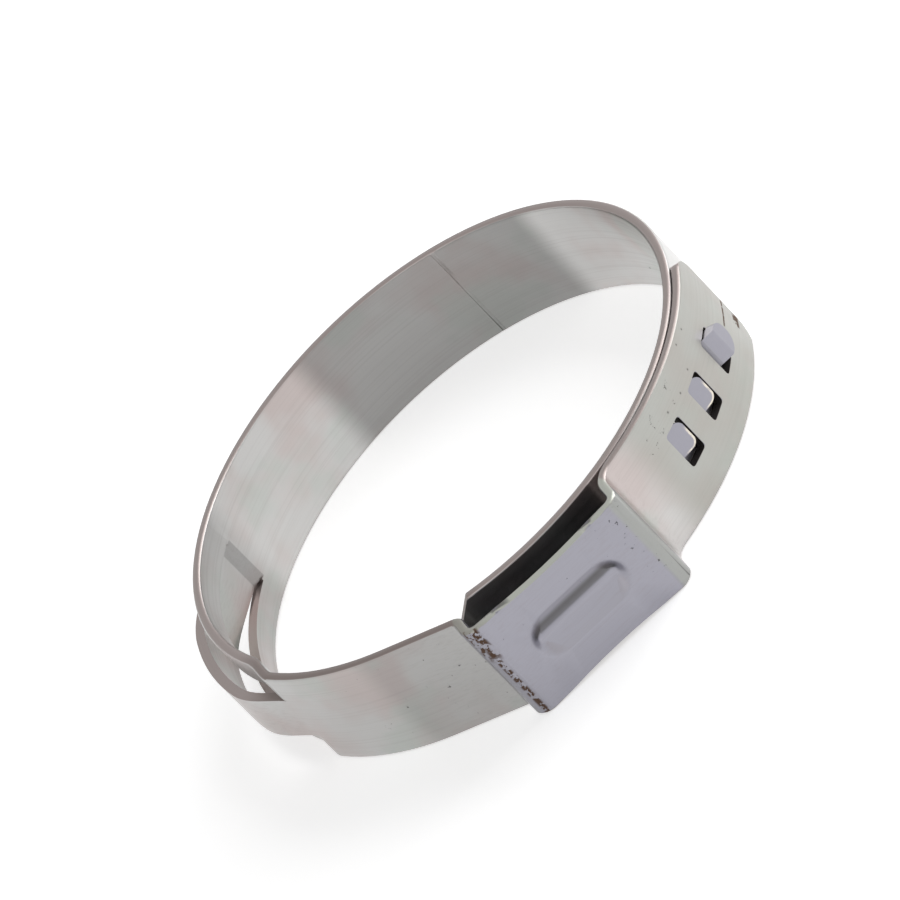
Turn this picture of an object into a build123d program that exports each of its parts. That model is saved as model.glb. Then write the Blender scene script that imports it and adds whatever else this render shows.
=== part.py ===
"""Ear hose clamp: one strip of stainless steel, cut, pierced and rolled into a ring.

The ring axis is Z and the lower rim lies in the plane z = 0. The ear points to -Y.
Angles are degrees about Z from +X, counter-clockwise. The strip is followed from its
inner end: tongue, inner layer with three hooks, plain ring, channel, outer layer, ear,
and the outer layer's right side with three windows. Millimetres.
"""
import os
from math import acos, atan2, cos, degrees, hypot, radians, sin, sqrt

from build123d import *

# Strip
WIDTH = 7.0
THICKNESS = 0.6
BORE_RADIUS = 16.05
RIM_BREAK = 0.12
MIDDLE = WIDTH / 2
FAR = 3 * BORE_RADIUS

# Layers: the strip laps over itself with a little room between
LAP_GAP = 0.05
LEFT_GAP = 0.10
INNER_OUTSIDE = BORE_RADIUS + THICKNESS
LAP_RADIUS = INNER_OUTSIDE + LAP_GAP
LAP_OUTSIDE = LAP_RADIUS + THICKNESS
LEFT_RADIUS = INNER_OUTSIDE + LEFT_GAP
PARTING_RADIUS = INNER_OUTSIDE + LAP_GAP / 2

# Tongue at the inner end
TONGUE_TIP = 210.1
SHOULDER = 255.5
TONGUE_WIDTH = 2.9
TONGUE_TIP_RADIUS = 0.8
NARROW_START = SHOULDER - degrees((WIDTH - TONGUE_WIDTH) / 2 / BORE_RADIUS)

# Channel that the tongue slides into
CHANNEL_START = 142.3
CREASE = 145.0
CROWN_START = 168.0
CROWN_END = 190.0
CHANNEL_END = 206.1
CHANNEL_WIDTH = 3.1
SLIT = 0.12
SLIT_START = 143.4
SLIT_END = 204.4
CREASE_RISE = 0.45
CROWN_RISE = 1.40
STEP_START = 197.6

# Ear
EAR_LEFT = -5.10
EAR_RIGHT = 5.03
EAR_INSIDE = -18.65
EAR_OUTSIDE = EAR_INSIDE - THICKNESS
EAR_MIDDLE = (EAR_LEFT + EAR_RIGHT) / 2
EAR_CORNER = 0.4
LEFT_FOOT = (EAR_LEFT, -16.87)
LEFT_FOOT_RADIUS = 0.9
RIGHT_FOOT_RADIUS = 1.9

# Dimple pressed into the ear's crown, and the rims that it draws in
DIMPLE_LENGTH = 6.6
DIMPLE_WIDTH = 2.9
DIMPLE_DEPTH = 0.55
DIMPLE_END_SLOPE = 0.5
DIMPLE_SIDE_SLOPE = 1.15
DIMPLE_ROUND = 0.3
DRAW_IN = 0.27
DRAW_LENGTH = 9.2

# Outer end
OUTER_END = -14.5
END_RADIUS = 1.4

# Windows in the outer layer, one hook of the inner layer in each
WINDOW_ANGLES = (-56.9, -46.1, -34.6)
WINDOW_LENGTH = 1.58
WINDOW_HEIGHT = 2.6
WINDOW_CORNER = 0.22
HOOK_SETBACK = 0.10
HOOK_WIDTH = 2.0
HOOK_OFFSET = 0.22
HOOK_CLEARANCE = 0.04
HOOK_BEND = 0.25

# Side shape of each hook as (along the strip, up from the inner layer's inside)
PLAIN_HOOK = ((0, 0), (0.14, 0), (1.33, 0.62), (1.33, 1.25), (0, THICKNESS))
LONG_HOOK = (
    (0, 0),
    (0.28, 0),
    (1.15, 1.32),
    (1.95, 1.29),
    (1.95, 1.80),
    (0.82, 1.86),
    (0, THICKNESS),
)

# Each hook's side shape, the radius of its tip's corners, the length of the slot that
# it leaves behind, and where its bends are rounded
HOOKS = (
    (PLAIN_HOOK, 0.5, 1.52, ()),
    (PLAIN_HOOK, 0.5, 1.52, ()),
    (LONG_HOOK, 0.85, 2.65, (LONG_HOOK[2], LONG_HOOK[5])),
)

# Line that the rolls leave across the inside of the ring
ROLL_LINE = 65.6
ROLL_LINE_WIDTH = 0.24
ROLL_LINE_DEPTH = 0.03


def polar(radius, angle):
    """Point in the XY plane at a radius and an angle in degrees."""
    return Vector(radius * cos(radians(angle)), radius * sin(radians(angle)))


def facing(angle):
    """Plane through the ring axis that faces outward at an angle, with X along the strip."""
    out = polar(1, angle)
    return Plane(origin=(0, 0, MIDDLE), x_dir=(-out.Y, out.X, 0), z_dir=(out.X, out.Y, 0))


def punch(angle, shape, low, high):
    """Solid that a punch with this outline sweeps between two radii."""
    return extrude(facing(angle).offset(low) * shape, high - low)


def sector(low, high, start, end, bottom, top):
    """Solid between two radii, two angles and two heights."""
    outline = [
        CenterArc((0, 0), low, start, end - start),
        Line(polar(low, end), polar(high, end)),
        CenterArc((0, 0), high, start, end - start),
        Line(polar(high, start), polar(low, start)),
    ]
    face = Face(Wire(outline))
    return extrude(Plane.XY.offset(bottom) * face, top - bottom, dir=(0, 0, 1))


class Run:
    """Side view of the strip: the inside line and the outside line, one thickness apart."""

    def __init__(self):
        self.inside = []
        self.outside = []

    def arc(self, centre, radius, start, end, side=1):
        """Arc; side is -1 where the outside of the strip is nearer to the arc's centre."""
        for lines, shift in ((self.inside, 0), (self.outside, side * THICKNESS)):
            lines.append(CenterArc(centre, radius + shift, start, end - start))

    def line(self, start, end):
        """Straight stretch; the outside is to the right of its direction."""
        start, end = Vector(*start), Vector(*end)
        along = (end - start).normalized()
        out = Vector(along.Y, -along.X) * THICKNESS
        self.inside.append(Line(start, end))
        self.outside.append(Line(start + out, end + out))

    def curve(self, points, tangents=True):
        """Smooth stretch through (angle, radius) points, along the ring at both ends."""
        for lines, shift in ((self.inside, 0), (self.outside, THICKNESS)):
            path = [polar(radius + shift, angle) for angle, radius in points]
            ends = [polar(1, angle + 90) for angle, _ in (points[0], points[-1])]
            lines.append(Spline(*path, tangents=ends) if tangents else Line(*path))

    def face(self):
        """Closed side view."""
        first = Line(self.inside[0] @ 0, self.outside[0] @ 0)
        last = Line(self.inside[-1] @ 1, self.outside[-1] @ 1)
        return Face(Wire([*self.inside, last, *self.outside, first]))


def outer_run():
    """Side view of the whole strip with the channel's centre left flat."""
    run = Run()
    run.arc((0, 0), BORE_RADIUS, TONGUE_TIP - 360, STEP_START)
    run.curve([(STEP_START, BORE_RADIUS), (CHANNEL_END, LEFT_RADIUS)])

    # From the lap, a straight stretch leaves the ring and ends in the ear's left foot
    foot_x, foot_y = LEFT_FOOT
    foot_angle = degrees(atan2(foot_y, foot_x)) + 360
    lift_angle = foot_angle - degrees(acos(LEFT_RADIUS / hypot(foot_x, foot_y)))
    run.arc((0, 0), LEFT_RADIUS, CHANNEL_END, lift_angle)
    lift = polar(LEFT_RADIUS, lift_angle)
    heading = degrees(atan2(foot_y - lift.Y, foot_x - lift.X))
    back = LEFT_FOOT_RADIUS * sin(radians(heading + 90) / 2) / cos(radians(heading + 90) / 2)
    bend = Vector(foot_x, foot_y) - polar(back, heading)
    run.line(lift, bend)
    leg_top = Vector(foot_x, foot_y - back)
    centre = (foot_x - LEFT_FOOT_RADIUS, leg_top.Y)
    run.arc(centre, LEFT_FOOT_RADIUS, heading + 90, 0, side=-1)

    # Ear: left leg, crown, right leg
    crown = EAR_INSIDE + EAR_CORNER
    run.line(leg_top, (EAR_LEFT, crown))
    run.arc((EAR_LEFT + EAR_CORNER, crown), EAR_CORNER, 180, 270)
    run.line((EAR_LEFT + EAR_CORNER, EAR_INSIDE), (EAR_RIGHT - EAR_CORNER, EAR_INSIDE))
    run.arc((EAR_RIGHT - EAR_CORNER, crown), EAR_CORNER, 270, 360)

    # Right foot: an arc that touches the leg and the lap
    foot_x = EAR_RIGHT + RIGHT_FOOT_RADIUS
    foot_y = -sqrt((LAP_RADIUS + RIGHT_FOOT_RADIUS) ** 2 - foot_x**2)
    run.line((EAR_RIGHT, crown), (EAR_RIGHT, foot_y))
    touch = degrees(atan2(foot_y, foot_x))
    run.arc((foot_x, foot_y), RIGHT_FOOT_RADIUS, 180, touch + 180, side=-1)
    run.arc((0, 0), LAP_RADIUS, touch, OUTER_END)
    return run


def channel_run():
    """Side view of the channel's centre strip: ramp, crown and the way back to the lap."""
    run = Run()
    crease = BORE_RADIUS + CREASE_RISE
    crown = BORE_RADIUS + CROWN_RISE
    run.curve([(CHANNEL_START, BORE_RADIUS), (CREASE, crease)], tangents=False)
    run.curve([(CREASE, crease), (CROWN_START, crown)])
    run.arc((0, 0), crown, CROWN_START, CROWN_END)
    run.curve([(CROWN_END, crown), (CHANNEL_END, LEFT_RADIUS)])
    return run


def rolled_strip():
    """The strip rolled up at its full width, drawn in at the ear, with its rims' edges broken."""
    strip = extrude(outer_run().face(), WIDTH, dir=(0, 0, 1))
    radius = (DRAW_LENGTH**2 / 4 + DRAW_IN**2) / (2 * DRAW_IN)
    bite = Cylinder(radius, 3 * THICKNESS, rotation=(90, 0, 0))
    for height in (WIDTH - DRAW_IN + radius, DRAW_IN - radius):
        strip -= Pos(EAR_MIDDLE, EAR_OUTSIDE, height) * bite
    rims = strip.edges().filter_by_position(Axis.Z, 0, DRAW_IN)
    rims += strip.edges().filter_by_position(Axis.Z, WIDTH - DRAW_IN, WIDTH)
    crown = (EAR_MIDDLE - DRAW_LENGTH / 2 - RIM_BREAK, EAR_MIDDLE + DRAW_LENGTH / 2 + RIM_BREAK)
    across = rims.filter_by(Axis.Y).filter_by_position(Axis.X, *crown)
    return chamfer([edge for edge in rims if edge not in across], RIM_BREAK)


def with_channel(strip):
    """Presses the centre of the strip outward between two slits."""
    low = MIDDLE - CHANNEL_WIDTH / 2
    high = MIDDLE + CHANNEL_WIDTH / 2
    inside = BORE_RADIUS - 1
    outside = BORE_RADIUS + 3
    strip -= sector(inside, outside, CHANNEL_START, CHANNEL_END, low, high)
    strip += extrude(Plane.XY.offset(low) * channel_run().face(), CHANNEL_WIDTH, dir=(0, 0, 1))
    for bottom in (low - SLIT, high):
        strip -= sector(inside, outside, SLIT_START, SLIT_END, bottom, bottom + SLIT)
    return strip


def end_waste(angle, way, width, radius, low, high):
    """What is cut away to round both corners of an end; way is 1 where the end faces +angle."""
    block = Rectangle(2 * radius, 2 * width)
    body = Pos(-2 * way * radius, 0) * Rectangle(6 * radius, width)
    waste = block - fillet(body.vertices(), radius)
    middle = angle - way * degrees(radius / low)
    return punch(middle, waste, low - THICKNESS, high) - Cylinder(low, FAR)


def with_tongue(strip):
    """Trims the inner end to the tongue, with sloping shoulders and a rounded tip."""
    half = TONGUE_WIDTH / 2
    slope = MIDDLE - half
    low = BORE_RADIUS - 1
    high = INNER_OUTSIDE + LEFT_GAP / 2
    for side in (1, -1):
        corners = ((1, 1 + slope), (0, slope), (-slope, 0), (-2 * slope, 0), (-2 * slope, WIDTH), (1, WIDTH))
        wedge = make_face(Polyline(*[(x, side * (half + y)) for x, y in corners], close=True))
        strip -= punch(SHOULDER, wedge, low, high) & Cylinder(high, FAR)
        edges = sorted((MIDDLE + side * half, MIDDLE + side * WIDTH))
        strip -= sector(low, high, TONGUE_TIP - 1, NARROW_START, *edges)
    return strip - end_waste(TONGUE_TIP, -1, TONGUE_WIDTH, TONGUE_TIP_RADIUS, low, high)


def with_windows(strip):
    """Pierces the windows through the outer layer only."""
    outline = RectangleRounded(WINDOW_LENGTH, WINDOW_HEIGHT, WINDOW_CORNER)
    for angle in WINDOW_ANGLES:
        middle = angle + degrees(WINDOW_LENGTH / 2 / LAP_RADIUS)
        strip -= punch(middle, outline, PARTING_RADIUS, LAP_OUTSIDE + 1)
    return strip


def tab_outline(length, corner, spread):
    """Outline of a lanced tab: square at its root, rounded at its tip."""
    box = Pos(length / 2, HOOK_OFFSET) * Rectangle(length, HOOK_WIDTH + 2 * spread)
    return fillet(box.vertices().sort_by(Axis.X)[-2:], corner + spread)


def hook(root, shape, corner, bends):
    """One bent tab: its side shape across the strip, kept within the tab's outline."""
    start = polar(BORE_RADIUS, root) + Vector(0, 0, MIDDLE + HOOK_OFFSET)
    side = Plane(origin=start, x_dir=facing(root).x_dir, z_dir=(0, 0, -1))
    profile = make_face(Polyline(*shape, close=True))
    if bends:
        profile = fillet([profile.vertices().sort_by_distance(point)[0] for point in bends], HOOK_BEND)
    bent = extrude(side * profile, HOOK_WIDTH / 2, both=True)
    reach = max(along for along, _ in shape)
    return bent & punch(root, tab_outline(reach, corner, 0), BORE_RADIUS - 1, LAP_OUTSIDE + 1)


def with_hooks(strip):
    """Lances a tab from the inner layer at each window and bends it outward."""
    inner_layer = Cylinder(PARTING_RADIUS, FAR)
    for angle, (shape, corner, slot, bends) in zip(WINDOW_ANGLES, HOOKS):
        root = angle + degrees(HOOK_SETBACK / LAP_RADIUS)
        outline = tab_outline(slot, corner, HOOK_CLEARANCE)
        strip -= punch(root, outline, BORE_RADIUS - 1, LAP_OUTSIDE) & inner_layer
        strip += hook(root, shape, corner, bends)
    return strip


def dimple(floor, depth):
    """Solid of the dimple: a long narrow floor with walls that slope out towards -Y."""
    base = Plane(origin=(EAR_MIDDLE, floor, MIDDLE), x_dir=(1, 0, 0), z_dir=(0, -1, 0))
    outlines = []
    for level in (0, depth):
        inset = 2 * (1 - level / DIMPLE_DEPTH)
        length = DIMPLE_LENGTH - inset * DIMPLE_END_SLOPE
        width = DIMPLE_WIDTH - inset * DIMPLE_SIDE_SLOPE
        outlines.append((base.offset(level) * SlotOverall(length, width)).face())
    return loft(outlines)


def with_dimple(strip):
    """Presses the dimple into the crown of the ear, with a rounded mouth."""
    strip += dimple(EAR_INSIDE + DIMPLE_DEPTH, DIMPLE_DEPTH + THICKNESS / 2)
    strip -= dimple(EAR_OUTSIDE + DIMPLE_DEPTH, DIMPLE_DEPTH + THICKNESS / 2)
    mouth = strip.faces().sort_by(Axis.Y)[0].inner_wires()[0]
    return fillet(mouth.edges(), DIMPLE_ROUND)


def with_roll_line(strip):
    """Presses a fine line across the inside of the ring."""
    half = degrees(ROLL_LINE_WIDTH / 2 / BORE_RADIUS)
    depth = BORE_RADIUS + ROLL_LINE_DEPTH
    return strip - sector(BORE_RADIUS - 1, depth, ROLL_LINE - half, ROLL_LINE + half, -1, WIDTH + 1)


def with_outer_end(strip):
    """Rounds the two corners of the outer end."""
    return strip - end_waste(OUTER_END, 1, WIDTH, END_RADIUS, PARTING_RADIUS, LAP_OUTSIDE + 1)


def main():
    os.makedirs("parts", exist_ok=True)
    strip = rolled_strip()
    strip = with_channel(strip)
    strip = with_tongue(strip)
    strip = with_windows(strip)
    strip = with_hooks(strip)
    strip = with_dimple(strip)
    strip = with_roll_line(strip)
    strip = with_outer_end(strip)
    export_step(strip, "parts/clamp_band.step")


main()
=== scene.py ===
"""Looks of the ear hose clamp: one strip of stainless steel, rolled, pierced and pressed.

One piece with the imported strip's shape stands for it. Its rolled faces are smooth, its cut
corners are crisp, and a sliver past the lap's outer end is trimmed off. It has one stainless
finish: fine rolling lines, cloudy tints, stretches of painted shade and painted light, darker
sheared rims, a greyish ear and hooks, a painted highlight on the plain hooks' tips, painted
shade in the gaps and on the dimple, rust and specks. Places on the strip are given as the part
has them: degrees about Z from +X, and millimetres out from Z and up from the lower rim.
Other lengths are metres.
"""
from math import radians

import bpy
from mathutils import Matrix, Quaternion, Vector


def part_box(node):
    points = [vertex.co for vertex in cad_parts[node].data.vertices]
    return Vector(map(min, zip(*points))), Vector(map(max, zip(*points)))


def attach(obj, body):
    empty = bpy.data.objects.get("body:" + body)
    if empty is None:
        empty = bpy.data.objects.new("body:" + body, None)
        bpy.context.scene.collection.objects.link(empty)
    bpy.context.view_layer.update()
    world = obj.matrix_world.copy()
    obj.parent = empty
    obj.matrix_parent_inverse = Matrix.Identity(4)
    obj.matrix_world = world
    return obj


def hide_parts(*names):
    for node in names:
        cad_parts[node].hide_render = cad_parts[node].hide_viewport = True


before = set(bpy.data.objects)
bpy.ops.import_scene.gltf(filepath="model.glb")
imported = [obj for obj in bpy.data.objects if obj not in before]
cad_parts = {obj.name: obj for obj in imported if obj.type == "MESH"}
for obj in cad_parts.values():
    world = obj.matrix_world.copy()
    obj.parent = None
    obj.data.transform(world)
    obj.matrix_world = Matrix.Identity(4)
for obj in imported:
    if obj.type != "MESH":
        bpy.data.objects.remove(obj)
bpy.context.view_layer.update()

MM = 0.001
BAND = "clamp_band"
BODY = "root"

# The strip, in millimetres, as the part has it
LOW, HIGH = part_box(BAND)
WIDTH_MM = (HIGH.z - LOW.z) / MM
THICKNESS_MM = 0.6
LAYER_GAP_MM = 0.05
BORE_MM = 16.05
INNER_OUTSIDE_MM = BORE_MM + THICKNESS_MM
LAP_INSIDE_MM = INNER_OUTSIDE_MM + LAYER_GAP_MM
LAP_OUTSIDE_MM = LAP_INSIDE_MM + THICKNESS_MM
EAR_OUTSIDE_MM = -LOW.y / MM
HALFWAY_MM = (INNER_OUTSIDE_MM + LAP_OUTSIDE_MM) / 2
ALL_HEIGHT = (-1, WIDTH_MM + 1)

# The lap's outer end, and the box that trims the sliver past it. The box is given as (out
# from Z, along the strip, up) in a frame turned to where the end's corners begin. It starts
# in the gap between the two layers, and bites a little into the end.
END_DEGREES = -14.5
END_CORNER_MM = 1.4
PARTING_MM = (INNER_OUTSIDE_MM + LAP_INSIDE_MM) / 2
TRIM_TURN = radians(END_DEGREES) - END_CORNER_MM / PARTING_MM
TRIM_BITE_MM = 0.004
TRIM_START = (16.616, END_CORNER_MM - TRIM_BITE_MM, -1.0)
TRIM_SIZE = (1.0, 0.8, WIDTH_MM + 2.0)

# Facets: which corners stay crisp
MERGE_DISTANCE = 0.0005 * MM
CRISP_ANGLE = radians(50)

# Camera: a long lens from in front of the ear, turned about its own line of sight
CAMERA_PLACE = Vector((16.877, -458.818, 268.057)) * MM
CAMERA_AIM = Vector((0.041, 2.915, 3.5)) * MM
CAMERA_ROLL = radians(44.281)
CAMERA_LENS = 382.36
SENSOR_WIDTH = 36.0
NEAREST_SEEN = 0.01

# Studio: floor, white surroundings and two soft lamps as (place, size, power)
FLOOR_SIZE = 4.0
FLOOR_DROP = 0.01 * MM
FLOOR_COLOR = (0.8, 0.8, 0.8, 1)
FLOOR_GLOW = 0.52
ROOM_LIGHT = 0.38
BACK_LAMP = ((0.62, 0.26, 0.38), 0.8, 5.0)
FRONT_LAMP = ((-0.55, -0.5, 0.8), 0.7, 1.3)

# Colours of the steel and of what lies on it, and of painted shade, light and highlight
STEEL = (0.60, 0.595, 0.585, 1)
WARM_TINT = (0.56, 0.50, 0.485, 1)
GREEN_TINT = (0.53, 0.56, 0.53, 1)
LILAC_TINT = (0.35, 0.345, 0.39, 1)
# Olive tint, also used as painted shade over stretches of the lap
OLIVE_TINT_AND_SHADE = (0.36, 0.37, 0.335, 1)
# Painted light
PAINTED_LIGHT = (0.74, 0.74, 0.73, 1)
# Painted highlight round the plain hooks' tips
CREAM_HIGHLIGHT = (0.80, 0.74, 0.64, 1)
SHEARED = (0.27, 0.232, 0.222, 1)
BROWN_RIM = (0.12, 0.095, 0.085, 1)
# Painted shade, over stretches of the strip and on the dimple's upper wall
PAINTED_SHADE = (0.13, 0.127, 0.124, 1)
RUST = (0.085, 0.042, 0.022, 1)
# Dirt, also used as painted shade on the window walls and in the gap inside the ear
GRIME_AND_SHADE = (0.012, 0.008, 0.007, 1)

# Rolling lines and cloudy tints. A cloud is (fineness, where it starts, where it is full).
LINE_LENGTH, LINE_FINENESS, LINE_DETAIL = 14.0, 9.0, 3.0
LINE_LIMITS, LINE_AMOUNT = (0.45, 0.75), 0.12
WARM_CLOUD = (0.13, 0.42, 0.62)
GREEN_CLOUD, GREEN_AMOUNT = (0.21, 0.5, 0.66), 0.7
HIGHLIGHT_CLOUD = (1.6, 0.3, 0.5)
CLOUD_DETAIL, CLOUD_ROUGHNESS = 3.0, 0.55
SPECK_DETAIL, SPECK_ROUGHNESS, SPECK_EDGE = 6.0, 0.65, 0.04

# Gloss: limits of the lines, roughness between them and on them, and what soil and the painted
# shade of the window walls change
LINE_GLOSS = (0.2, 0.8, 0.3, 0.38)
SOIL_AND_SHADE_ROUGHNESS, SOIL_AND_SHADE_DULLING = 0.35, 0.8

# How faces are told apart by the outward and upward parts of their normals
OUTWARD_LIMITS, INWARD_LIMITS = (0.2, 0.6), (-0.2, -0.6)
RIM_LIMITS, CUT_LIMITS = (0.35, 0.8), (0.6, 0.25)
LAYER_SOFT_MM = 0.05

# Stretches of the ear, the rims and the long hook, as
# (from, to, bottom, top, soft degrees, soft millimetres)
CROWN = (-107, -73, *ALL_HEIGHT, 0.6, 0.1)
EAR_RIM = (-108, -72, 5, 8, 0.6, 0.1)
FRONT_RIM = (-158, -109, 5, 8, 10, 0.1)
EAR_INSIDE = (-106, -74, *ALL_HEIGHT, 1.0, 0.3)
LONG_HOOK = (-36, -24, *ALL_HEIGHT, 0.2, 0.1)
FRONT_RIM_AMOUNT = 0.55
CROWN_RADII = (17.6, 18.2)

# Painted shade in the gap inside the ear: on the inner layer's outside below it, and on the ear's
# own inside
GAP_FLOOR_RADII, GAP_FLOOR_SOFT_MM = (16.6, 16.9), 0.02
GAP_ROOF_RADII = (16.75, 16.8)
GAP_AMOUNT = 0.5

# Painted shade on the dimple's upper wall, which faces down: how its wall tilts, how deep it lies,
# and how much it shows
DIMPLE_TILT = (-0.12, -0.38)
DIMPLE_DEPTH = (0.08 - EAR_OUTSIDE_MM, 0.36 - EAR_OUTSIDE_MM)
DIMPLE_AMOUNT = 0.92

# Windows in the lap: where each starts, and its walls between the layers' faces, darkened with
# painted shade
WINDOW_STARTS = (-56.9, -46.1, -34.6)
WINDOW_DEGREES = 5.42
WINDOW_BOTTOM, WINDOW_TOP = 2.2, 4.8
WINDOW_SOFT = (0.03, 0.01)
WALL_RADII, WALL_SOFT_MM = (INNER_OUTSIDE_MM + 0.03, LAP_OUTSIDE_MM - 0.04), 0.02

# Hooks: their outline in a window, and the painted highlight along the edge of the two plain ones,
# which come first
PLAIN_HOOKS = 2
HOOK_ROOT_DEGREES, HOOK_END_DEGREES, HOOK_SIDE_MM = 0.3, 0.05, 0.05
HOOK_MIDDLE = 3.72
HOOK_HALF_WIDTH = 1.0
HOOK_TIP = 1.43
HOOK_CORNER = 0.5
HIGHLIGHT_WIDTH, HIGHLIGHT_SOFT_MM = 0.07, 0.06
HIGHLIGHT_ACROSS, HIGHLIGHT_ALONG = (0.5, 0.0), (0.5, 0.95)
LONG_HOOK_RADII = (LAP_OUTSIDE_MM + 0.01, LAP_OUTSIDE_MM + 0.03)

# Stretches of painted shade and painted light laid over the steel, as (side, from, to, bottom,
# top, soft degrees, colour, amount)
TONE_SOFT_MM = 0.1
SHADE_AND_LIGHT_STRETCHES = (
    ("inside", 46, 99, *ALL_HEIGHT, 7, PAINTED_SHADE, 0.57),
    ("inside", 145, 220, *ALL_HEIGHT, 10, PAINTED_SHADE, 0.33),
    ("inside", -220, -144, *ALL_HEIGHT, 10, PAINTED_SHADE, 0.33),
    ("inside", 142.3, 144.8, 1.95, 5.05, 0.3, PAINTED_SHADE, 0.4),
    ("outside", -200, -108, *ALL_HEIGHT, 4, PAINTED_SHADE, 0.22),
    ("outside", 150, 200, *ALL_HEIGHT, 8, PAINTED_SHADE, 0.22),
    ("outside", -127, -108.5, *ALL_HEIGHT, 6, PAINTED_SHADE, 0.25),
    ("lap", -75.6, -73, *ALL_HEIGHT, 0.9, OLIVE_TINT_AND_SHADE, 0.7),
    ("ring", -14, 4, *ALL_HEIGHT, 26, PAINTED_LIGHT, 0.75),
    ("lap", -60, -12, *ALL_HEIGHT, 8, OLIVE_TINT_AND_SHADE, 0.62),
)

# Rust and dirt, as (from, to, bottom, top, soft degrees, soft millimetres, fineness, cover)
RUST_OUTWARD = (0.05, 0.25)
DIRT_AMOUNT = 0.7
RUST_MARKS = (
    (-106.3, -104.5, 5.1, 6.9, 0.6, 0.7, 2.2, 0.535),
    (-105.5, -105.0, 0.3, 5.1, 0.45, 0.7, 2.8, 0.53),
    (-22.8, -15.2, 2.87, 2.93, 0.6, 0.08, 2.6, 0.62),
    (-18.2, -15.2, 1.4, 1.8, 0.5, 0.15, 2.4, 0.57),
)
SPECK_MARKS = (
    (-77.5, -75.0, 1.5, 6.6, 1.0, 0.4, 2.6, 0.385),
    (-62.0, -48.0, 5.0, 6.4, 2.0, 0.4, 2.4, 0.375),
    (-135.0, -110.0, 1.0, 6.6, 4.0, 0.6, 2.0, 0.34),
    (-105.0, -78.0, 4.6, 6.4, 1.0, 0.4, 3.0, 0.33),
)
# Single spots of dirt, as (side, degrees, height)
SPOTS = (
    ("lap", -35.4, 6.5),
    ("lap", -39.6, 6.6),
    ("lap", -42.0, 5.3),
    ("lap", -47.4, 5.2),
    ("lap", -52.6, 5.45),
    ("inside", 20.0, 1.75),
)
SPOT_DEGREES, SPOT_MM = 0.35, 0.11


# ---------------------------------------------------------------- small node helpers

def link(tree, source, target):
    """Joins an output to an input, or sets the input where the source is a plain value."""
    if isinstance(source, bpy.types.NodeSocket):
        tree.links.new(source, target)
    else:
        target.default_value = source


def calc(tree, operation, *values, clamp=False):
    """Math node over sockets and numbers; returns its output."""
    node = tree.nodes.new("ShaderNodeMath")
    node.operation = operation
    node.use_clamp = clamp
    for value, socket in zip(values, node.inputs):
        link(tree, value, socket)
    return node.outputs[0]


def product(tree, first, *others):
    """All the masks multiplied together."""
    for other in others:
        first = calc(tree, "MULTIPLY", first, other)
    return first


def most(tree, first, *others):
    """The strongest of several masks."""
    for other in others:
        first = calc(tree, "MAXIMUM", first, other)
    return first


def fade(tree, value, start, end, low=0.0, high=1.0):
    """Smooth step of a value from start to end."""
    node = tree.nodes.new("ShaderNodeMapRange")
    node.interpolation_type = "SMOOTHSTEP"
    for name, given in (("Value", value), ("From Min", start), ("From Max", end),
                        ("To Min", low), ("To Max", high)):
        link(tree, given, node.inputs[name])
    return node.outputs["Result"]


def between(tree, value, low, high, soft):
    """Mask that is 1 between two limits, with soft sides."""
    up = fade(tree, value, low - soft, low)
    down = fade(tree, value, high, high + soft)
    return calc(tree, "SUBTRACT", up, down, clamp=True)


def blend(tree, amount, under, over):
    """Lays one colour over another by a mask."""
    node = tree.nodes.new("ShaderNodeMix")
    node.data_type = "RGBA"
    link(tree, amount, node.inputs["Factor"])
    colors = [socket for socket in node.inputs if socket.type == "RGBA"]
    link(tree, under, colors[0])
    link(tree, over, colors[1])
    return [socket for socket in node.outputs if socket.type == "RGBA"][0]


def noise(tree, vector, scale, detail, roughness=0.5):
    """Noise value at a point."""
    node = tree.nodes.new("ShaderNodeTexNoise")
    link(tree, vector, node.inputs["Vector"])
    link(tree, scale, node.inputs["Scale"])
    link(tree, detail, node.inputs["Detail"])
    link(tree, roughness, node.inputs["Roughness"])
    return node.outputs["Fac"]


def new_group(name, inputs, outputs):
    """Shader node group with float or vector sockets; returns (group, start, end)."""
    group = bpy.data.node_groups.new(name, "ShaderNodeTree")
    for way, sockets in (("INPUT", inputs), ("OUTPUT", outputs)):
        for label, kind in sockets:
            group.interface.new_socket(label, in_out=way, socket_type="NodeSocket" + kind)
    start = group.nodes.new("NodeGroupInput")
    end = group.nodes.new("NodeGroupOutput")
    return group, start.outputs, end.inputs


def place_group(tree, group, **values):
    """Puts a group into a tree with its own values; returns its outputs."""
    node = tree.nodes.new("ShaderNodeGroup")
    node.node_tree = group
    for name, value in values.items():
        link(tree, value, node.inputs[name.replace("_", " ")])
    return node.outputs


# ---------------------------------------------------------------- effects on the steel

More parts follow.
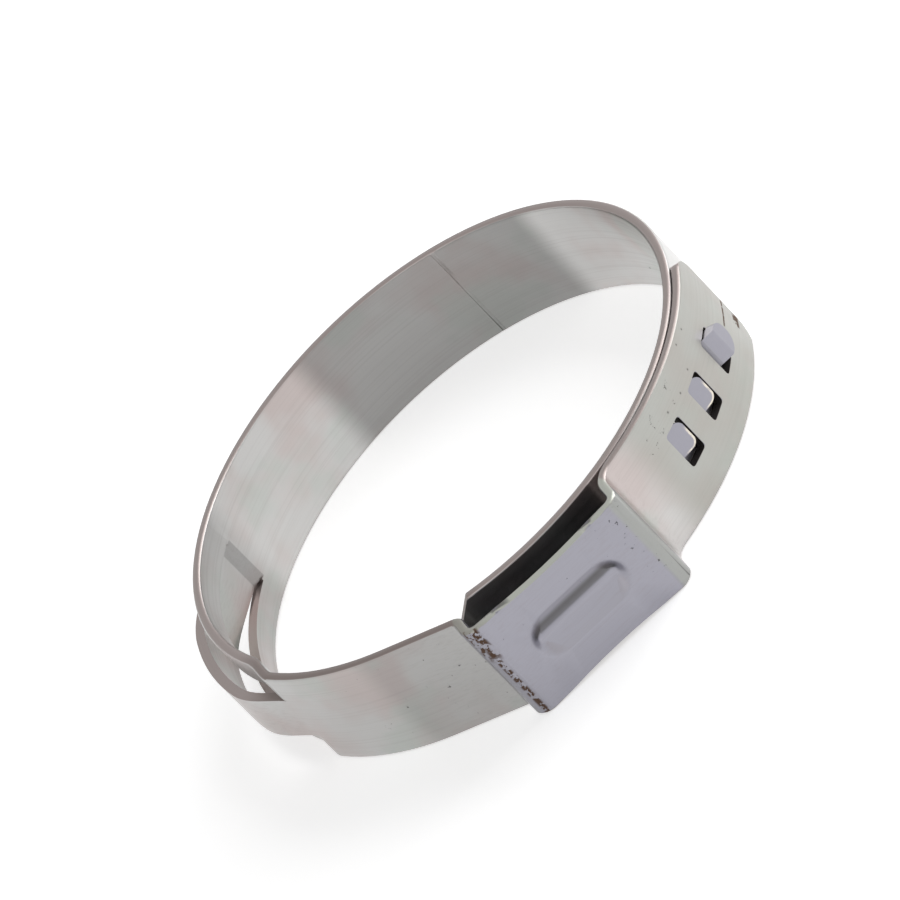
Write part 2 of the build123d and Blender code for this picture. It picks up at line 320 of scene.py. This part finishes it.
def strip_place():
    """Where a point is on the rolled strip: degrees round, millimetres out and up."""
    group, given, made = new_group(
        "place on strip", [("Point", "Vector")],
        [("Angle", "Float"), ("Radius", "Float"), ("Height", "Float"), ("Millimetres", "Vector"),
         ("Rolled Out", "Vector")])
    scale = group.nodes.new("ShaderNodeVectorMath")
    scale.operation = "SCALE"
    link(group, given["Point"], scale.inputs["Vector"])
    link(group, 1 / MM, scale.inputs["Scale"])
    point = group.nodes.new("ShaderNodeSeparateXYZ")
    link(group, scale.outputs[0], point.inputs[0])
    turn = calc(group, "ARCTAN2", point.outputs["Y"], point.outputs["X"])
    square = [calc(group, "MULTIPLY", point.outputs[axis], point.outputs[axis]) for axis in "XY"]
    radius = calc(group, "SQRT", calc(group, "ADD", *square))
    flat = group.nodes.new("ShaderNodeCombineXYZ")
    link(group, calc(group, "MULTIPLY", turn, BORE_MM), flat.inputs["X"])
    link(group, point.outputs["Z"], flat.inputs["Y"])
    link(group, radius, flat.inputs["Z"])
    link(group, calc(group, "DEGREES", turn), made["Angle"])
    link(group, radius, made["Radius"])
    link(group, point.outputs["Z"], made["Height"])
    link(group, scale.outputs[0], made["Millimetres"])
    link(group, flat.outputs[0], made["Rolled Out"])
    return group


def patch():
    """Mask over a stretch of the strip, with soft sides."""
    group, given, made = new_group(
        "patch of strip",
        [(name, "Float") for name in ("Angle", "Height", "From", "To", "Soft Degrees",
                                      "Bottom", "Top", "Soft Millimetres")],
        [("Mask", "Float")])
    masks = []
    for value, low, high, soft in (("Angle", "From", "To", "Soft Degrees"),
                                   ("Height", "Bottom", "Top", "Soft Millimetres")):
        below = calc(group, "SUBTRACT", given[low], given[soft])
        above = calc(group, "ADD", given[high], given[soft])
        masks.append(fade(group, given[value], below, given[low]))
        masks.append(fade(group, given[value], given[high], above, 1.0, 0.0))
    link(group, product(group, *masks), made["Mask"])
    return group


def rolling_lines():
    """Fine lines that the rolls leave along the strip."""
    group, given, made = new_group(
        "rolling lines", [("Rolled Out", "Vector"), ("Length", "Float"), ("Fineness", "Float")],
        [("Lines", "Float")])
    stretch = group.nodes.new("ShaderNodeVectorMath")
    stretch.operation = "MULTIPLY"
    shape = group.nodes.new("ShaderNodeCombineXYZ")
    link(group, calc(group, "DIVIDE", 1.0, given["Length"]), shape.inputs["X"])
    link(group, given["Fineness"], shape.inputs["Y"])
    link(group, given["Fineness"], shape.inputs["Z"])
    link(group, given["Rolled Out"], stretch.inputs[0])
    link(group, shape.outputs[0], stretch.inputs[1])
    link(group, noise(group, stretch.outputs[0], 1.0, LINE_DETAIL), made["Lines"])
    return group


def clouding():
    """Slow drift of tint over the steel, from 0 to 1."""
    group, given, made = new_group(
        "clouding",
        [("Point", "Vector"), ("Fineness", "Float"), ("Low", "Float"), ("High", "Float")],
        [("Amount", "Float")])
    value = noise(group, given["Point"], given["Fineness"], CLOUD_DETAIL, CLOUD_ROUGHNESS)
    link(group, fade(group, value, given["Low"], given["High"]), made["Amount"])
    return group


def specks():
    """Small ragged marks, more of them where Cover is high."""
    group, given, made = new_group(
        "specks", [("Point", "Vector"), ("Fineness", "Float"), ("Cover", "Float")],
        [("Mask", "Float")])
    value = noise(group, given["Point"], given["Fineness"], SPECK_DETAIL, SPECK_ROUGHNESS)
    edge = calc(group, "SUBTRACT", 1.0, given["Cover"])
    full = calc(group, "ADD", edge, SPECK_EDGE)
    link(group, fade(group, value, edge, full), made["Mask"])
    return group


def facing_parts():
    """How much a face looks up or down, along the strip, or outward."""
    group, given, made = new_group(
        "facing", [("Point", "Vector"), ("Normal", "Vector")],
        [("Rim", "Float"), ("Cut", "Float"), ("Outward", "Float"), ("Up", "Float")])
    point = group.nodes.new("ShaderNodeSeparateXYZ")
    link(group, given["Point"], point.inputs[0])
    level = group.nodes.new("ShaderNodeCombineXYZ")
    link(group, point.outputs["X"], level.inputs["X"])
    link(group, point.outputs["Y"], level.inputs["Y"])
    level.inputs["Z"].default_value = 0.0
    out = group.nodes.new("ShaderNodeVectorMath")
    out.operation = "NORMALIZE"
    link(group, level.outputs[0], out.inputs[0])
    dot = group.nodes.new("ShaderNodeVectorMath")
    dot.operation = "DOT_PRODUCT"
    link(group, out.outputs[0], dot.inputs[0])
    link(group, given["Normal"], dot.inputs[1])
    normal = group.nodes.new("ShaderNodeSeparateXYZ")
    link(group, given["Normal"], normal.inputs[0])
    upright = calc(group, "ABSOLUTE", normal.outputs["Z"])
    across = calc(group, "ABSOLUTE", dot.outputs["Value"])
    link(group, fade(group, upright, *RIM_LIMITS), made["Rim"])
    link(group, fade(group, across, *CUT_LIMITS), made["Cut"])
    link(group, dot.outputs["Value"], made["Outward"])
    link(group, normal.outputs["Z"], made["Up"])
    return group


def hook_tip():
    """How far a point lies inside the rounded outline of a hook, in millimetres."""
    group, given, made = new_group(
        "hook tip",
        [(name, "Float") for name in ("Along", "Across", "Tip", "Half Width", "Corner")],
        [("Inset", "Float")])
    past = calc(group, "SUBTRACT", given["Along"], given["Tip"])
    past = calc(group, "ADD", past, given["Corner"])
    beside = calc(group, "SUBTRACT", calc(group, "ABSOLUTE", given["Across"]), given["Half Width"])
    beside = calc(group, "ADD", beside, given["Corner"])
    squares = []
    for overhang in (past, beside):
        overhang = calc(group, "MAXIMUM", overhang, 0.0)
        squares.append(calc(group, "MULTIPLY", overhang, overhang))
    reach = calc(group, "SQRT", calc(group, "ADD", *squares))
    link(group, calc(group, "SUBTRACT", given["Corner"], reach), made["Inset"])
    return group


# ---------------------------------------------------------------- materials

def new_material(name):
    """Empty material; returns (material, tree)."""
    material = bpy.data.materials.new(name)
    material.use_nodes = True
    material.node_tree.nodes.clear()
    return material, material.node_tree


def seen_or_mirrored(tree):
    """1 for what the camera sees itself, in metal or through glass."""
    path = tree.nodes.new("ShaderNodeLightPath")
    ways = ("Is Camera Ray", "Is Glossy Ray", "Is Transmission Ray")
    return most(tree, *[path.outputs[way] for way in ways])


def floor_material():
    """Pale floor that takes light and shadow, lifted to white where it is seen."""
    material, tree = new_material("white floor")
    output = tree.nodes.new("ShaderNodeOutputMaterial")
    both = tree.nodes.new("ShaderNodeAddShader")
    lit = tree.nodes.new("ShaderNodeBsdfDiffuse")
    lit.inputs["Color"].default_value = FLOOR_COLOR
    glow = tree.nodes.new("ShaderNodeEmission")
    link(tree, product(tree, seen_or_mirrored(tree), FLOOR_GLOW), glow.inputs["Strength"])
    link(tree, lit.outputs[0], both.inputs[0])
    link(tree, glow.outputs[0], both.inputs[1])
    link(tree, both.outputs[0], output.inputs["Surface"])
    return material


class Strip:
    """The strip's material tree, with the places, sides and effects that its finishes share."""

    def __init__(self, tree):
        self.tree = tree
        here = tree.nodes.new("ShaderNodeTexCoord").outputs["Object"]
        surface = tree.nodes.new("ShaderNodeNewGeometry")
        self.place = place_group(tree, strip_place(), Point=here)
        self.face = place_group(tree, facing_parts(), Point=here,
                                Normal=surface.outputs["Normal"])
        self.lines = place_group(tree, rolling_lines(), Rolled_Out=self.place["Rolled Out"],
                                 Length=LINE_LENGTH, Fineness=LINE_FINENESS)["Lines"]
        self.groups = {"cloud": clouding(), "speck": specks(), "patch": patch(),
                       "tip": hook_tip()}
        outside = fade(tree, self.face["Outward"], *OUTWARD_LIMITS)
        self.on_lap = self.beyond(HALFWAY_MM - LAYER_SOFT_MM, HALFWAY_MM + LAYER_SOFT_MM)
        self.sides = {
            "outside": outside,
            "inside": fade(tree, self.face["Outward"], *INWARD_LIMITS),
            "lap": product(tree, outside, self.on_lap),
            "ring": product(tree, outside, calc(tree, "SUBTRACT", 1.0, self.on_lap)),
        }

    def beyond(self, start, full):
        """Mask of what lies further out from Z than a radius."""
        return fade(self.tree, self.place["Radius"], start, full)

    def stretch(self, start, end, bottom, top, soft_degrees, soft_mm):
        """Mask over a stretch of the strip."""
        return place_group(self.tree, self.groups["patch"], Angle=self.place["Angle"],
                           Height=self.place["Height"], From=start, To=end, Bottom=bottom,
                           Top=top, Soft_Degrees=soft_degrees, Soft_Millimetres=soft_mm)["Mask"]

    def cloud(self, fineness, low, high):
        """Amount of a slow tint."""
        return place_group(self.tree, self.groups["cloud"], Point=self.place["Millimetres"],
                           Fineness=fineness, Low=low, High=high)["Amount"]

    def marks(self, places):
        """Ragged marks over several stretches."""
        masks = []
        for *limits, fineness, cover in places:
            speck = place_group(self.tree, self.groups["speck"], Fineness=fineness, Cover=cover,
                                Point=self.place["Millimetres"])["Mask"]
            masks.append(product(self.tree, self.stretch(*limits), speck))
        return most(self.tree, *masks)

    def lay(self, under, over, *masks):
        """Lays a colour over another where all the masks are."""
        return blend(self.tree, product(self.tree, *masks), under, over)


def rolled_steel(strip):
    """Bare steel: cloudy tints and rolling lines, with the ear's greyer crown, stretches of
    painted shade and painted light, and painted shade on the dimple's upper wall.
    """
    tree = strip.tree
    color = strip.lay(STEEL, WARM_TINT, strip.cloud(*WARM_CLOUD))
    color = strip.lay(color, GREEN_TINT, strip.cloud(*GREEN_CLOUD), GREEN_AMOUNT)
    crown = product(tree, strip.stretch(*CROWN), strip.beyond(*CROWN_RADII))
    color = strip.lay(color, LILAC_TINT, crown)
    color = strip.lay(color, SHEARED, fade(tree, strip.lines, *LINE_LIMITS), LINE_AMOUNT)
    # Stretches of painted shade and painted light over the steel.
    for side, *limits, soft, painted_color, amount in SHADE_AND_LIGHT_STRETCHES:
        zone = strip.stretch(*limits, soft, TONE_SOFT_MM)
        color = strip.lay(color, painted_color, zone, strip.sides[side], amount)
    # Painted shade on the dimple's upper wall, which faces down.
    point = tree.nodes.new("ShaderNodeSeparateXYZ")
    link(tree, strip.place["Millimetres"], point.inputs[0])
    deep = fade(tree, point.outputs["Y"], *DIMPLE_DEPTH)
    tilted = fade(tree, strip.face["Up"], *DIMPLE_TILT)
    return strip.lay(color, PAINTED_SHADE, crown, tilted, strip.sides["outside"], deep, DIMPLE_AMOUNT)


def sheared_rims(strip, color):
    """Darker sheared rims: greyer along the ear, browner in front of it."""
    rim = strip.face["Rim"]
    color = strip.lay(color, SHEARED, rim)
    outer = strip.beyond(LAP_INSIDE_MM, LAP_OUTSIDE_MM)
    color = strip.lay(color, OLIVE_TINT_AND_SHADE, rim, strip.stretch(*EAR_RIM), outer)
    return strip.lay(color, BROWN_RIM, rim, strip.stretch(*FRONT_RIM), FRONT_RIM_AMOUNT)


def edge_highlight(strip, start):
    """Painted highlight: thin bright edge round a hook's tip, on its far and lower side."""
    tree = strip.tree
    along = calc(tree, "SUBTRACT", strip.place["Angle"], start)
    along = calc(tree, "MULTIPLY", along, radians(LAP_OUTSIDE_MM))
    across = calc(tree, "SUBTRACT", strip.place["Height"], HOOK_MIDDLE)
    inset = place_group(tree, strip.groups["tip"], Along=along, Across=across, Tip=HOOK_TIP,
                        Half_Width=HOOK_HALF_WIDTH, Corner=HOOK_CORNER)["Inset"]
    edge = between(tree, inset, 0.0, HIGHLIGHT_WIDTH, HIGHLIGHT_SOFT_MM)
    return product(tree, edge, fade(tree, across, *HIGHLIGHT_ACROSS), fade(tree, along, *HIGHLIGHT_ALONG))


def windows_and_hooks(strip, color):
    """Greyer hooks with a painted highlight on their edge, and window walls darkened with painted
    shade; returns (colour, walls).
    """
    tree, outside = strip.tree, strip.sides["outside"]
    windows = [strip.stretch(start, start + WINDOW_DEGREES, WINDOW_BOTTOM, WINDOW_TOP,
                             *WINDOW_SOFT) for start in WINDOW_STARTS]
    hooks = [strip.stretch(start + HOOK_ROOT_DEGREES, start + WINDOW_DEGREES - HOOK_END_DEGREES,
                           WINDOW_BOTTOM + HOOK_SIDE_MM, WINDOW_TOP - HOOK_SIDE_MM,
                           *WINDOW_SOFT) for start in WINDOW_STARTS]
    long_hook = product(tree, strip.beyond(*LONG_HOOK_RADII), strip.stretch(*LONG_HOOK))
    plain_hooks = product(tree, most(tree, *hooks), outside)
    color = strip.lay(color, LILAC_TINT, most(tree, plain_hooks, long_hook))
    # Painted highlight round the tip of each plain hook.
    for start, hook in list(zip(WINDOW_STARTS, hooks))[:PLAIN_HOOKS]:
        color = strip.lay(color, CREAM_HIGHLIGHT, hook, edge_highlight(strip, start), outside,
                          strip.cloud(*HIGHLIGHT_CLOUD))
    # The window walls between the layers are darkened with painted shade.
    in_wall = between(tree, strip.place["Radius"], *WALL_RADII, WALL_SOFT_MM)
    walls = product(tree, most(tree, *windows), in_wall,
                    most(tree, strip.face["Cut"], strip.face["Rim"]))
    return strip.lay(color, GRIME_AND_SHADE, walls), walls


def ear_gap(strip, color):
    """Darkens the gap inside the ear with painted shade."""
    tree = strip.tree
    floor = between(tree, strip.place["Radius"], *GAP_FLOOR_RADII, GAP_FLOOR_SOFT_MM)
    floor = product(tree, floor, strip.sides["outside"])
    roof = product(tree, strip.beyond(*GAP_ROOF_RADII), strip.sides["inside"])
    inside = strip.stretch(*EAR_INSIDE)
    return strip.lay(color, GRIME_AND_SHADE, inside, most(tree, floor, roof), GAP_AMOUNT)


def rust_and_dirt(strip):
    """Masks of the rust and of the dirt."""
    tree = strip.tree
    rust = product(tree, strip.marks(RUST_MARKS), strip.on_lap,
                   fade(tree, strip.face["Outward"], *RUST_OUTWARD))
    spots = [product(tree, strip.stretch(at, at, up, up, SPOT_DEGREES, SPOT_MM),
                     strip.sides[side]) for side, at, up in SPOTS]
    specks_outside = product(tree, strip.marks(SPECK_MARKS), strip.sides["outside"])
    return rust, product(tree, most(tree, specks_outside, *spots), DIRT_AMOUNT)


def steel_material():
    """Stainless strip with all its marks, its painted shade, painted light and painted highlight.
    """
    material, tree = new_material("stainless strip")
    output = tree.nodes.new("ShaderNodeOutputMaterial")
    steel = tree.nodes.new("ShaderNodeBsdfPrincipled")
    link(tree, steel.outputs[0], output.inputs["Surface"])
    strip = Strip(tree)
    color = sheared_rims(strip, rolled_steel(strip))
    color, walls = windows_and_hooks(strip, color)
    color = ear_gap(strip, color)
    rust, dirt = rust_and_dirt(strip)
    color = strip.lay(color, RUST, rust)
    color = strip.lay(color, GRIME_AND_SHADE, dirt)
    # Rust, dirt and the painted shade of the window walls dull the metal.
    soil_and_shade = most(tree, rust, dirt, walls)
    bright = calc(tree, "SUBTRACT", 1.0, product(tree, soil_and_shade, SOIL_AND_SHADE_DULLING))
    rough = fade(tree, strip.lines, *LINE_GLOSS)
    rough = calc(tree, "ADD", rough, product(tree, soil_and_shade, SOIL_AND_SHADE_ROUGHNESS))
    link(tree, color, steel.inputs["Base Color"])
    link(tree, bright, steel.inputs["Metallic"])
    link(tree, rough, steel.inputs["Roughness"])
    return material


# ---------------------------------------------------------------- the clamp and the studio

def end_trimmer(group):
    """Box that stands just past the lap's outer end; returns its geometry."""
    box = group.nodes.new("GeometryNodeMeshCube")
    box.inputs["Size"].default_value = Vector(TRIM_SIZE) * MM
    middle = Vector([start + size / 2 for start, size in zip(TRIM_START, TRIM_SIZE)]) * MM
    turn = Quaternion((0, 0, 1), TRIM_TURN)
    move = group.nodes.new("GeometryNodeTransform")
    link(group, box.outputs["Mesh"], move.inputs["Geometry"])
    move.inputs["Translation"].default_value = turn @ middle
    move.inputs["Rotation"].default_value = turn.to_euler()
    return move.outputs["Geometry"]


def crisp_corners(material):
    """Geometry node group that trims the outer end and leaves only real corners crisp."""
    group = bpy.data.node_groups.new("crisp corners", "GeometryNodeTree")
    for way in ("INPUT", "OUTPUT"):
        group.interface.new_socket("Geometry", in_out=way, socket_type="NodeSocketGeometry")
    start = group.nodes.new("NodeGroupInput")
    end = group.nodes.new("NodeGroupOutput")
    merge = group.nodes.new("GeometryNodeMergeByDistance")
    merge.inputs["Distance"].default_value = MERGE_DISTANCE
    trim = group.nodes.new("GeometryNodeMeshBoolean")
    trim.operation = "DIFFERENCE"
    trim.solver = "EXACT"
    corner = group.nodes.new("GeometryNodeInputMeshEdgeAngle")
    smooth = group.nodes.new("FunctionNodeCompare")
    smooth.operation = "LESS_THAN"
    smooth.inputs["B"].default_value = CRISP_ANGLE
    faces = group.nodes.new("GeometryNodeSetShadeSmooth")
    edges = group.nodes.new("GeometryNodeSetShadeSmooth")
    edges.domain = "EDGE"
    coat = group.nodes.new("GeometryNodeSetMaterial")
    coat.inputs["Material"].default_value = material
    link(group, start.outputs["Geometry"], merge.inputs["Geometry"])
    link(group, merge.outputs["Geometry"], trim.inputs["Mesh 1"])
    link(group, end_trimmer(group), trim.inputs["Mesh 2"])
    link(group, trim.outputs["Mesh"], faces.inputs["Geometry"])
    link(group, faces.outputs["Geometry"], edges.inputs["Geometry"])
    link(group, corner.outputs["Unsigned Angle"], smooth.inputs["A"])
    link(group, smooth.outputs["Result"], edges.inputs["Shade Smooth"])
    link(group, edges.outputs["Geometry"], coat.inputs["Geometry"])
    link(group, coat.outputs["Geometry"], end.inputs["Geometry"])
    return group


def add_strip(packed):
    """Adds the strip, with its outer end trimmed and its rolled faces smooth."""
    strip = bpy.data.objects.new("rolled_strip", packed.data.copy())
    bpy.context.scene.collection.objects.link(strip)
    material = steel_material()
    strip.data.materials.clear()
    strip.data.materials.append(material)
    strip.modifiers.new("crisp corners", "NODES").node_group = crisp_corners(material)
    even = strip.modifiers.new("even faces", "WEIGHTED_NORMAL")
    even.keep_sharp = True
    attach(strip, BODY)
    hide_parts(BAND)


def aimed(place, target):
    """Turn that points an object's -Z from a place to a target."""
    return (Vector(target) - Vector(place)).to_track_quat("-Z", "Y")


def add_camera():
    """Creates the camera at its place, aimed, then turned about its line of sight."""
    data = bpy.data.cameras.new("camera")
    data.lens = CAMERA_LENS
    data.sensor_width = SENSOR_WIDTH
    data.clip_start = NEAREST_SEEN
    camera = bpy.data.objects.new("camera", data)
    camera.location = CAMERA_PLACE
    camera.rotation_mode = "QUATERNION"
    roll = Quaternion((0, 0, 1), -CAMERA_ROLL)
    camera.rotation_quaternion = aimed(CAMERA_PLACE, CAMERA_AIM) @ roll
    bpy.context.scene.collection.objects.link(camera)
    bpy.context.scene.camera = camera


def add_floor():
    """Plain floor just under the clamp's lower rim."""
    bpy.ops.mesh.primitive_plane_add(size=FLOOR_SIZE, location=(0, 0, LOW.z - FLOOR_DROP))
    floor = bpy.context.object
    floor.name = "floor"
    floor.data.materials.append(floor_material())


def add_lamp(name, place, size, power):
    """Square soft lamp aimed at the clamp."""
    data = bpy.data.lights.new(name, "AREA")
    data.shape = "SQUARE"
    data.size = size
    data.energy = power
    lamp = bpy.data.objects.new(name, data)
    lamp.location = place
    lamp.rotation_mode = "QUATERNION"
    lamp.rotation_quaternion = aimed(place, (0, 0, 0))
    bpy.context.scene.collection.objects.link(lamp)


def set_surroundings():
    """White room: full white where it is seen, softer where it lights."""
    world = bpy.data.worlds.new("white room")
    bpy.context.scene.world = world
    world.use_nodes = True
    tree = world.node_tree
    tree.nodes.clear()
    output = tree.nodes.new("ShaderNodeOutputWorld")
    room = tree.nodes.new("ShaderNodeBackground")
    room.inputs["Color"].default_value = (1, 1, 1, 1)
    extra = product(tree, seen_or_mirrored(tree), 1 - ROOM_LIGHT)
    link(tree, calc(tree, "ADD", extra, ROOM_LIGHT), room.inputs["Strength"])
    link(tree, room.outputs[0], output.inputs["Surface"])


bpy.context.scene.view_settings.view_transform = "Standard"
add_camera()
set_surroundings()
add_floor()
add_lamp("back lamp", *BACK_LAMP)
add_lamp("front lamp", *FRONT_LAMP)
add_strip(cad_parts[BAND])
